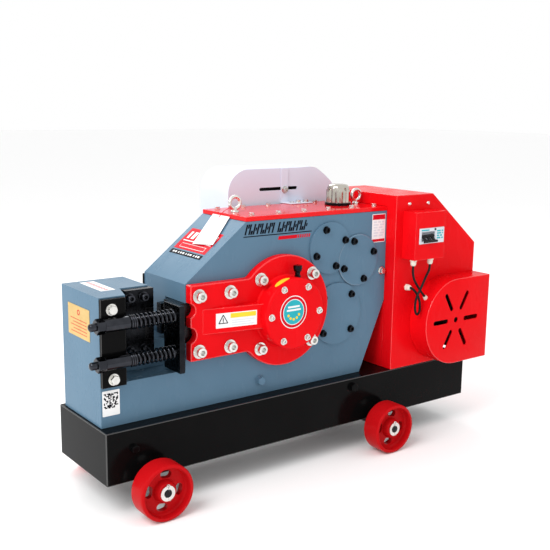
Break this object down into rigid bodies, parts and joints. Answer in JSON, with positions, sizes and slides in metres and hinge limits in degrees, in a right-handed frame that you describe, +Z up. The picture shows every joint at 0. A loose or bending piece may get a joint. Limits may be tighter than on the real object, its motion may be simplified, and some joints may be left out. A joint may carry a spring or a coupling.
{
  "type": "rebar cutter",
  "caption": "Wheeled electric rebar cutter: a motor, flywheel and gear train turn a crank that drives a sprung sliding blade past a fixed blade.",
  "frame": {"origin": "on the floor under the centre of the machine's bounding box", "axes": "+X along the machine from the blades to the motor, +Y from the control side to the flywheel side, +Z up"},
  "size_m": [1.3535, 0.52, 0.8395],
  "materials": {
    "body_paint": "gloss blue-grey enamel",
    "red_paint": "gloss red enamel",
    "black_paint": "gloss black enamel",
    "white_paint": "semi-gloss white enamel",
    "black_oxide": "blackened steel",
    "zinc": "bright zinc plate",
    "steel": "machined steel",
    "chrome": "bright chrome",
    "cast_iron": "black painted iron",
    "bronze": "plain bronze",
    "rubber": "matte black",
    "grey_plastic": "light grey",
    "black_plastic": "satin black"
  },
  "bodies": {
    "chassis": {"base_frame": "black_paint", "left_axle": "steel", "right_axle": "steel", "gearbox_body": "body_paint", "top_cover": "red_paint", "front_cover": "red_paint", "crank_cap": "red_paint", "input_bearing_cover": "body_paint", "middle_bearing_cover": "body_paint", "lower_bearing_cover": "body_paint", "oil_cup": "black_oxide", "breather": "chrome", "left_eye_bolt": "zinc", "right_eye_bolt": "zinc", "front_crank_bush": "bronze", "rear_crank_bush": "bronze", "fixed_blade_holder": "black_oxide", "fixed_blade": "steel", "rod_bracket": "black_oxide", "upper_return_spring": "black_oxide", "lower_return_spring": "black_oxide", "motor_body": "cast_iron", "drive_belt": "rubber", "flywheel_guard": "white_paint", "guard_bracket": "white_paint", "belt_guard": "red_paint", "rear_belt_cover": "red_paint", "motor_hood": "red_paint", "control_box": "red_paint", "circuit_breaker": "grey_plastic", "motor_gland": "grey_plastic", "supply_gland": "grey_plastic", "guard_gland": "grey_plastic", "motor_lead": "rubber", "supply_lead": "rubber"},
    "slide": {"slide": "steel", "moving_blade": "steel", "push_plate": "black_oxide", "wrist_pin": "steel", "upper_spring_rod": "black_oxide", "lower_spring_rod": "black_oxide"},
    "connecting_rod": {"connecting_rod": "steel"},
    "crank": {"crankshaft": "steel", "bull_gear": "steel"},
    "lower_gearset": {"lower_shaft": "steel", "lower_gear": "steel"},
    "middle_gearset": {"middle_shaft": "steel", "middle_gear": "steel"},
    "input_gearset": {"input_shaft": "steel", "flywheel": "cast_iron"},
    "motor_armature": {"motor_rotor": "steel", "motor_pulley": "cast_iron", "motor_fan": "black_plastic"},
    "front_left_wheel": {"front_left_wheel": "red_paint"},
    "front_right_wheel": {"front_right_wheel": "red_paint"},
    "back_left_wheel": {"back_left_wheel": "red_paint"},
    "back_right_wheel": {"back_right_wheel": "red_paint"},
    "breaker_lever": {"breaker_lever": "black_plastic"},
    "test_button": {"test_button": "black_plastic"}
  },
  "joints": [
    {"name": "slide_stroke", "type": "slide", "parent": "chassis", "child": "slide", "axis": [-1, 0, 0], "range_m": [0, 0.0375], "stiffness_N_per_m": 3000, "springref_m": -0.01, "deforming": ["upper_return_spring", "lower_return_spring"]},
    {"name": "rod_swing", "type": "hinge", "parent": "slide", "child": "connecting_rod", "pos_m": [-0.24075, -0.081, 0.466], "axis": [0, 1, 0], "range_deg": [-6, 6]},
    {"name": "crank_turn", "type": "hinge", "parent": "chassis", "child": "crank", "pos_m": [-0.08575, -0.02, 0.466], "axis": [0, 1, 0], "continuous": true},
    {"name": "lower_turn", "type": "hinge", "parent": "chassis", "child": "lower_gearset", "pos_m": [0.12425, -0.02, 0.4261], "axis": [0, 1, 0], "continuous": true},
    {"name": "middle_turn", "type": "hinge", "parent": "chassis", "child": "middle_gearset", "pos_m": [0.20325, -0.02, 0.5795], "axis": [0, 1, 0], "continuous": true},
    {"name": "input_turn", "type": "hinge", "parent": "chassis", "child": "input_gearset", "pos_m": [0.09375, -0.02, 0.6245], "axis": [0, 1, 0], "continuous": true},
    {"name": "motor_turn", "type": "hinge", "parent": "chassis", "child": "motor_armature", "pos_m": [0.52725, -0.02, 0.3705], "axis": [0, 1, 0], "continuous": true},
    {"name": "front_left_wheel_roll", "type": "hinge", "parent": "chassis", "child": "front_left_wheel", "pos_m": [-0.52275, -0.23, 0.075], "axis": [0, 1, 0], "continuous": true},
    {"name": "back_left_wheel_roll", "type": "hinge", "parent": "chassis", "child": "back_left_wheel", "pos_m": [-0.52275, 0.167, 0.075], "axis": [0, 1, 0], "continuous": true},
    {"name": "front_right_wheel_roll", "type": "hinge", "parent": "chassis", "child": "front_right_wheel", "pos_m": [0.25925, -0.23, 0.075], "axis": [0, 1, 0], "continuous": true},
    {"name": "back_right_wheel_roll", "type": "hinge", "parent": "chassis", "child": "back_right_wheel", "pos_m": [0.25925, 0.167, 0.075], "axis": [0, 1, 0], "continuous": true},
    {"name": "lever_throw", "type": "hinge", "parent": "chassis", "child": "breaker_lever", "pos_m": [0.39975, -0.22, 0.6465], "axis": [-1, 0, 0], "range_deg": [0, 76]},
    {"name": "button_press", "type": "slide", "parent": "chassis", "child": "test_button", "axis": [0, 1, 0], "range_m": [0, 0.0015], "stiffness_N_per_m": 400, "springref_m": -0.001}
  ],
  "couplings": [
    {"joint": "lower_turn", "follows": "crank_turn", "ratio": -3.3333},
    {"joint": "middle_turn", "follows": "crank_turn", "ratio": 10.196},
    {"joint": "input_turn", "follows": "crank_turn", "ratio": -29.908},
    {"joint": "motor_turn", "follows": "crank_turn", "ratio": -97.882}
  ]
}
